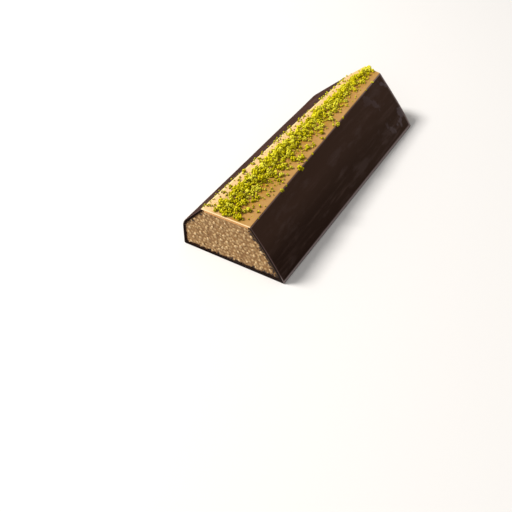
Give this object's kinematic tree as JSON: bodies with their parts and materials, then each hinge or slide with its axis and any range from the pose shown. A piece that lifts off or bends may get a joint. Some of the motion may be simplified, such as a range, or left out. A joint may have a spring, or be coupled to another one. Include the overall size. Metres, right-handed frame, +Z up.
{
  "type": "halva bar",
  "caption": "Long sesame halva bar with sloping flanks under a thin dark chocolate coat, a narrowing smooth tan top strewn with chopped pistachio, and both ends cut open.",
  "frame": {"origin": "middle of the base, on the surface that the bar lies on", "axes": "+Y along the bar from its cut face to its narrower far end, +Z up, +X to the right seen from the cut face"},
  "size_m": [0.0594, 0.1482, 0.0325],
  "materials": {
    "halva": "matt crumbly cut face with cream sesame grains",
    "dark_chocolate": "satin, with faint streaks along the bar",
    "tan_top": "smooth, matt to satin",
    "pistachio": "matt chopped nut, yellow-green"
  },
  "bodies": {
    "root": {"halva": "halva", "chocolate_coat": "dark_chocolate", "pistachio_top": "pistachio"}
  },
  "joints": []
}
